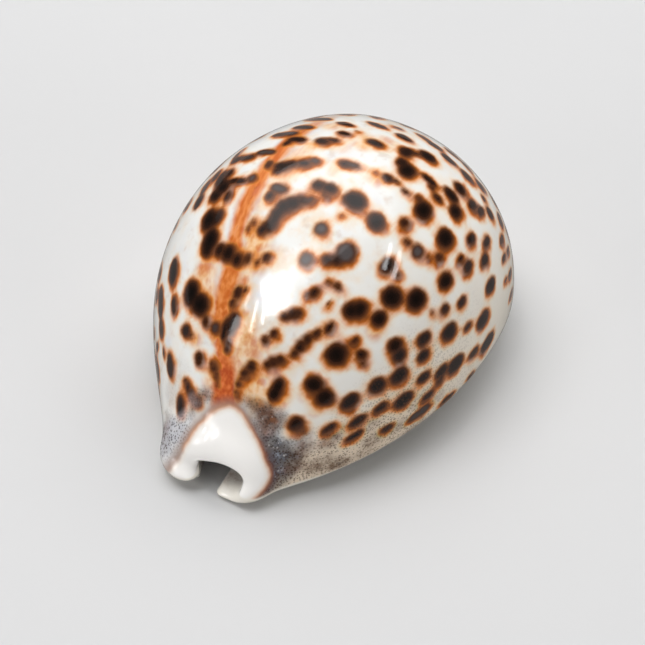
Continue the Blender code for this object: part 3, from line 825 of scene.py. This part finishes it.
class Glaze(Nodes):
    """The shell's enamel, laid on in coats one over the other."""

    def __init__(self, tree):
        super().__init__(tree)
        in_millimetres = self.add("ShaderNodeVectorMath", operation="SCALE")
        self.feed(in_millimetres.inputs[0], self.add("ShaderNodeTexCoord").outputs["Object"])
        in_millimetres.inputs["Scale"].default_value = 1000.0
        self.place = in_millimetres.outputs["Vector"]
        self.along, self.around = self.field("along"), self.field("around")
        groups = (ragged_edge_group(), speckle_group(), flecks_group(), spot_colours_group())
        self.groups = {group.name: group for group in groups}
        self.colour = None

    def use(self, name, **values):
        """Puts a group in with its own values."""
        made = self.add("ShaderNodeGroup", node_tree=self.groups[name])
        for label, value in values.items():
            self.feed(made.inputs[label], value)
        return made.outputs

    def ragged(self, distance, broad, fine):
        made = self.use("ragged_edge", Place=self.place, Distance=distance, Broad=broad, Fine=fine)
        return made["Distance"]

    def speckle(self, scale, size, density):
        return self.use("speckle", Place=self.place, Scale=scale, Size=size, Density=density)["Mask"]

    def flecks(self, scale, level, softness, place=None):
        place = self.place if place is None else place
        return self.use("flecks", Place=place, Scale=scale, Level=level, Softness=softness)["Mask"]

    def coat(self, above, mask, blend="MIX"):
        """Lays a colour over what is there already, where the mask is 1."""
        self.colour = self.layer(self.colour, above, mask, blend)

    def ground(self):
        """White enamel with faint lilac, peach and tan clouds, warmer low on the columellar side; painted
        light makes the columellar side paler.
        """
        clouds = self.fade(self.noise(0.13), 0.0, 0.28)
        self.colour = self.layer((240, 239, 235), (226, 226, 229), clouds)
        peach = self.fade(self.noise(0.24, 3.0), -0.06, 0.24, 0.0, 0.65)
        less_on_left = self.fade(self.around, 130.0, 114.0, 0.4, 1.0)
        self.coat((238, 212, 180), self.times(peach, less_on_left))
        self.coat((206, 180, 158), self.fade(self.noise(0.42), 0.04, 0.3, 0.0, 0.45))
        # painted light: the enamel is made paler towards the columellar side, standing in for more lamp
        # light there
        self.coat((246, 242, 234), self.fade(self.around, 80.0, 45.0, 0.0, 0.8))
        self.coat((238, 226, 206), self.fade(self.around, 40.0, 5.0, 0.0, 0.6))

    def washes(self):
        """Streaky orange washes."""
        streaks = self.noise(0.5, place=self.stretched(1.1, 0.3))
        wash = self.times(self.field("wash"), self.fade(streaks, -0.25, 0.05, 0.6, 1.0))
        self.coat(self.layer((242, 192, 134), (214, 120, 48), self.fade(streaks, -0.1, 0.2)), wash)

    def mantle_line(self):
        """A streaky rusty band with violet-grey edges, redder near the callus."""
        strength = self.field("line_strength")
        streaks = self.noise(0.7, 1.5, place=self.stretched(1.3, 0.22))
        off_middle = self.sums("ABSOLUTE", self.field("line_across"))
        off_line = self.sums("SUBTRACT", off_middle, self.field("line_half"))
        edge = self.plus(self.ragged(off_line, 0.9, 0.3), self.times(streaks, 0.6))
        fainter_in_front = self.fade(self.along, -26.0, -16.0, 0.1, 0.4)
        haze = self.times(self.fade(edge, 1.8, 0.3), strength, fainter_in_front)
        self.coat((196, 180, 186), haze)
        self.coat((238, 180, 128), self.times(self.fade(edge, 1.2, -0.2), strength, 0.7))
        near_callus = self.fade(self.along, -24.0, -31.0)
        deep = self.layer((202, 102, 44), (182, 74, 38), near_callus)
        bright = self.layer((228, 138, 72), (220, 114, 56), near_callus)
        full = self.fade(edge, 0.9, -0.6)
        band = self.times(full, strength, self.fade(streaks, 0.4, 0.0, 0.8, 1.0))
        self.coat(self.layer(deep, bright, self.fade(streaks, -0.22, 0.2)), band)
        flecks = self.flecks(0.8, 0.1, 0.16, self.stretched(1.0, 0.4))
        self.coat((146, 74, 40), self.times(band, flecks, 0.35))

    def margin_mask(self):
        """Where the low columellar margin is, thinning out towards the spire."""
        clouds = self.noise(0.22)
        side = self.fade(self.plus(self.around, self.times(clouds, 24.0)), 40.0, 8.0)
        above_base = self.fade(self.around, -24.0, -10.0)
        front = self.fade(self.plus(self.along, self.times(clouds, 12.0)), 10.0, -22.0)
        return self.times(side, above_base, front)

    def margin(self):
        """Cream glaze low on the columellar side, with brown clouds."""
        self.coat((222, 200, 174), self.times(self.margin_mask(), 0.75))
        patchy = self.fade(self.noise(0.6), -0.2, 0.15, 0.35, 1.0)
        self.coat((112, 82, 62), self.times(self.field("grain"), patchy, 0.85))

    def spots(self):
        """Spots with halos; the halos vary in width and depth over the shell."""
        core = self.ragged(self.field("spot"), 0.6, 0.22)
        wide = self.times(self.noise(0.2, 1.0), 1.6)
        feathers = self.times(self.noise(0.8, 1.0, place=self.stretched(1.2, 0.4)), 0.6)
        halo = self.ragged(self.plus(wide, feathers, self.field("halo")), 0.9, 0.18)
        spot = self.use("spot_colours", Core=core, Halo=halo, Ink=self.field("ink"),
                        Veil=self.field("veil"))
        depth = self.fade(self.noise(0.3, 1.0), -0.25, 0.05, 0.7, 1.0)
        self.coat(spot["Halo Colour"], self.times(spot["Halo Cover"], depth), "DARKEN")
        self.coat(spot["Core Colour"], spot["Core Cover"])

    def neck(self):
        """Blue-grey neck beside the callus with dusky smudges, dark grains, and white specks painted as
        tiny glints.
        """
        clouds = self.noise(0.4, 3.0, 0.6)
        grey = self.times(self.field("grey"), self.fade(clouds, -0.3, 0.1, 0.6, 1.0))
        tint = self.layer((74, 70, 74), (140, 144, 154), self.fade(clouds, -0.04, 0.24))
        tint = self.layer(tint, (188, 188, 194), self.fade(self.around, 106.0, 124.0))
        self.coat(tint, grey)
        patchy = self.fade(self.noise(0.6, 1.0), -0.3, 0.1, 0.6, 1.0)
        dusk = self.times(self.field("dusk"), patchy)
        brown = self.layer((96, 62, 44), (152, 88, 44), self.fade(clouds, -0.1, 0.2))
        self.coat(brown, self.times(dusk, 0.95))
        any_neck = self.sums("MAXIMUM", grey, self.times(dusk, 0.7))
        self.coat((56, 46, 44), self.times(any_neck, self.speckle(2.5, 0.6, 0.95), 0.75))
        # painted highlight: white specks that stand in for tiny glints on the neck, more of them on the
        # columellar side
        fewer_on_left = self.fade(self.around, 100.0, 70.0, 0.1, 0.6)
        painted_glints = self.times(self.speckle(1.5, 0.4, 0.3), fewer_on_left)
        self.coat((212, 206, 204), self.times(grey, painted_glints))

    def grains(self):
        """Fine brown grains: sparse over the low margin, crowded in the clusters."""
        low, cluster = self.margin_mask(), self.field("grain")
        more = self.plus(self.times(low, 0.16), self.times(cluster, 0.2))
        fine = self.flecks(1.6, self.sums("SUBTRACT", 0.2, more), 0.34)
        somewhere = self.sums("MAXIMUM", low, cluster)
        self.coat((96, 70, 52), self.times(somewhere, fine, 0.5))
        self.coat((84, 60, 44), self.times(somewhere, self.speckle(2.5, 0.6, 0.8), 0.6))
        self.coat((58, 42, 32), self.times(cluster, self.flecks(0.9, 0.02, 0.25), 0.85))

    def callus(self):
        """White callus whose edge fades through cream and rust, darker on the columellar side."""
        border = self.ragged(self.field("callus"), 0.6, 0.15)
        right = self.fade(self.around, 96.0, 66.0)
        dusk = self.layer((150, 118, 104), (98, 76, 76), right)
        self.coat(dusk, self.fade(border, 2.2, 0.3, 0.0, 0.7))
        less_low_left = self.fade(self.around, 150.0, 130.0, 0.15, 1.0)
        rust = self.layer((190, 142, 118), (168, 104, 76), right)
        self.coat(rust, self.times(self.fade(border, 0.9, 0.0, 0.0, 0.8), less_low_left))
        peach = self.fade(border, 0.35, -0.3, 0.0, 0.9)
        self.coat((228, 184, 154), self.times(peach, less_low_left))
        self.coat((248, 238, 228), self.fade(border, 0.1, -0.8))
        self.coat((255, 252, 248), self.fade(border, -0.3, -1.5))

    def base(self):
        """Cream base that starts at the margins."""
        right, left = self.fade(self.around, -9.0, -20.0), self.fade(self.around, 196.0, 206.0)
        self.coat((246, 240, 228), self.times(self.sums("MAXIMUM", right, left), 0.9))

    def hollow(self):
        """Chalky lilac-white hollow, stained brown, with painted shade darkening the front canal."""
        stain = self.fade(self.noise(0.7, 4.0, 0.6), -0.06, 0.24, 0.0, 0.8)
        chalk = self.layer((230, 222, 214), (150, 118, 90), stain)
        # painted shade: the hollow is made dark brown in the front canal, where the recess lies in shade
        front = self.fade(self.along, -24.0, -33.0, 0.0, 0.7)
        canal_shade = self.times(front, self.fade(self.around, 20.0, 60.0, 0.2, 1.0))
        self.coat(self.layer(chalk, (58, 42, 30), canal_shade), self.field("inside"))


def make_glaze():
    """The one material of the shell: enamel, spots, mantle line, callus, neck, margin and hollow."""
    material = bpy.data.materials.new("shell_glaze")
    material.use_nodes = True
    glaze = Glaze(material.node_tree)
    for coat in (glaze.ground, glaze.washes, glaze.mantle_line, glaze.margin, glaze.spots,
                 glaze.neck, glaze.grains, glaze.callus, glaze.base, glaze.hollow):
        coat()
    rough = glaze.fade(glaze.noise(0.3, 3.0), -0.3, 0.3, 0.07, 0.12)
    bump = glaze.add("ShaderNodeBump")
    bump.inputs["Strength"].default_value = 0.12
    bump.inputs["Distance"].default_value = 0.0004
    glaze.feed(bump.inputs["Height"], glaze.noise(0.25, 3.0))

    principled = material.node_tree.nodes["Principled BSDF"]
    principled.inputs["IOR"].default_value = 1.42
    principled.inputs["Coat Weight"].default_value = 0.3
    principled.inputs["Coat Roughness"].default_value = 0.03
    principled.inputs["Coat IOR"].default_value = 1.5
    glaze.feed(principled.inputs["Base Color"], glaze.colour)
    glaze.feed(principled.inputs["Roughness"],
               glaze.plus(rough, glaze.times(glaze.field("inside"), 0.3)))
    glaze.feed(principled.inputs["Normal"], bump.outputs["Normal"])
    return material


# ------------------------------------------------------------------ studio
TARGET = Vector((0.00085, 0.00027, 0.018))     # a point inside the shell, in metres
VIEW_AZIMUTH = 28.5                            # compass angles: 0 is the front canal's side
VIEW_ELEVATION = 47.0
VIEW_DISTANCE = 0.5
LENS = 158.0
SHIFT_X, SHIFT_Y = -0.0102, -0.0674

FLOOR_RADIUS = 0.5
FLOOR_PALE = (0.64, 0.64, 0.643, 1.0)          # as seen
FLOOR_IN_GLOSS = (0.2, 0.2, 0.2, 1.0)          # as mirrored in the enamel
AIR_SEEN = 0.75
AIR_IN_GLOSS = 0.06


def towards(azimuth, elevation):
    """Unit vector from the shell towards a place at this compass angle and height."""
    a, e = math.radians(azimuth), math.radians(elevation)
    return Vector((math.sin(a) * math.cos(e), -math.cos(a) * math.cos(e), math.sin(e)))


def aim(thing, place, target, roll=0.0):
    """Puts a thing somewhere, facing a target, turned by roll about the line between them."""
    facing = (target - place).to_track_quat("-Z", "Y")
    thing.location = place
    thing.rotation_euler = (facing @ Quaternion((0.0, 0.0, 1.0), math.radians(roll))).to_euler()


def make_camera():
    data = bpy.data.cameras.new("camera")
    data.sensor_width = 36.0
    data.lens = LENS
    data.shift_x, data.shift_y = SHIFT_X, SHIFT_Y
    data.clip_start = 0.01
    data.dof.use_dof = False
    camera = bpy.data.objects.new("camera", data)
    bpy.context.scene.collection.objects.link(camera)
    aim(camera, TARGET + towards(VIEW_AZIMUTH, VIEW_ELEVATION) * VIEW_DISTANCE, TARGET)
    bpy.context.scene.camera = camera


# Square lamps that light the shell and the floor: (name, compass angle from the camera's, height,
# side, power). They don't show in the gloss.
SHINING_DISTANCE = 1.5
SHINING_LAMPS = (
    ("overhead", 180, 75, 0.8, 5.7),
    ("rear", 180, 50, 0.9, 4.5),
    ("rear_left", 225, 50, 0.9, 2.4),
    ("high_left", 250, 70, 0.8, 8.9),
    ("rear_right", 135, 50, 0.9, 8.4),
    ("left", 270, 25, 0.7, 1.4),
    ("front", 345, 9, 0.8, 3.8),
    ("front_left", 300, 15, 0.8, 5.4),
    ("right", 55, 14, 0.7, 4.4),
    ("far_right", 90, 20, 0.7, 1.3),
)

# Lamps that are only seen in the gloss: (name, compass angle from the camera's, height, roll,
# distance, size, power).
GLOSS_LAMPS = (
    ("sky", 200, 76, 0, 1.0, (1.5, 1.5), 8.6),
    ("sky_rim", 205, 60, 0, 1.2, (2.4, 2.4), 5.0),
    ("window", 307, 42.5, 50, 1.0, (0.25, 0.28), 2.6),
    ("window_rim", 308, 44, 48, 1.0, (0.33, 0.36), 1.5),
    ("window_glow", 312, 52, 40, 1.0, (0.44, 0.44), 1.4),
    ("pane", 298.5, 18.5, 12, 1.0, (0.13, 0.16), 0.33),
    ("slat_left", 303, 28, 22, 1.0, (0.012, 0.26), 0.35),
    ("slat_right", 307.5, 31, 22, 1.0, (0.010, 0.16), 0.17),
    ("slat_far", 293, 31, 22, 1.0, (0.010, 0.16), 0.15),
    ("strip_high", 52.5, 47, 34, 1.0, (0.26, 0.055), 0.38),
    ("strip_low", 55.5, 38.5, 34, 1.0, (0.26, 0.06), 0.42),
)


def make_lamp(name, turn, elevation, roll, distance, size, power, shines):
    """A soft box that faces the shell, and either shines on things or is seen in the gloss."""
    data = bpy.data.lights.new(name, "AREA")
    data.shape = "RECTANGLE"
    data.size, data.size_y = size
    data.energy = power
    lamp = bpy.data.objects.new(name, data)
    lamp.visible_diffuse = shines
    lamp.visible_glossy = not shines
    bpy.context.scene.collection.objects.link(lamp)
    place = TARGET + towards(VIEW_AZIMUTH + turn, elevation) * distance
    aim(lamp, place, TARGET, roll)


def make_floor():
    bm = bmesh.new()
    bmesh.ops.create_circle(bm, cap_ends=True, segments=96, radius=FLOOR_RADIUS)
    mesh = bpy.data.meshes.new("floor")
    bm.to_mesh(mesh)
    bm.free()
    floor = bpy.data.objects.new("floor", mesh)
    bpy.context.scene.collection.objects.link(floor)
    paper = bpy.data.materials.new("floor_paper")
    paper.use_nodes = True
    nodes = Nodes(paper.node_tree)
    principled = nodes.tree.nodes["Principled BSDF"]
    in_gloss = nodes.add("ShaderNodeLightPath").outputs["Is Glossy Ray"]
    pale = nodes.layer(FLOOR_PALE, FLOOR_IN_GLOSS, in_gloss)
    nodes.feed(principled.inputs["Base Color"], pale)
    principled.inputs["Roughness"].default_value = 1.0
    principled.inputs["Specular IOR Level"].default_value = 0.0
    mesh.materials.append(paper)


def make_studio():
    make_camera()
    make_floor()
    for name, turn, elevation, side, power in SHINING_LAMPS:
        make_lamp(name, turn, elevation, 0, SHINING_DISTANCE, (side, side), power, True)
    for lamp in GLOSS_LAMPS:
        make_lamp(*lamp, False)
    world = bpy.data.worlds.new("studio_air")
    world.use_nodes = True
    nodes = Nodes(world.node_tree)
    rays = nodes.add("ShaderNodeLightPath").outputs
    seen = nodes.times(rays["Is Camera Ray"], AIR_SEEN)
    mirrored = nodes.times(rays["Is Glossy Ray"], AIR_IN_GLOSS)
    background = nodes.tree.nodes["Background"]
    background.inputs["Color"].default_value = (1.0, 1.0, 1.0, 1.0)
    nodes.feed(background.inputs["Strength"], nodes.plus(seen, mirrored))
    bpy.context.scene.world = world
    bpy.context.scene.view_settings.view_transform = "Standard"


make_studio()
shell_mesh = make_shell()
shell_mesh.materials.append(make_glaze())
shell = bpy.data.objects.new("cowrie_shell", shell_mesh)
bpy.context.scene.collection.objects.link(shell)
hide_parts("shell")
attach(shell, "root")
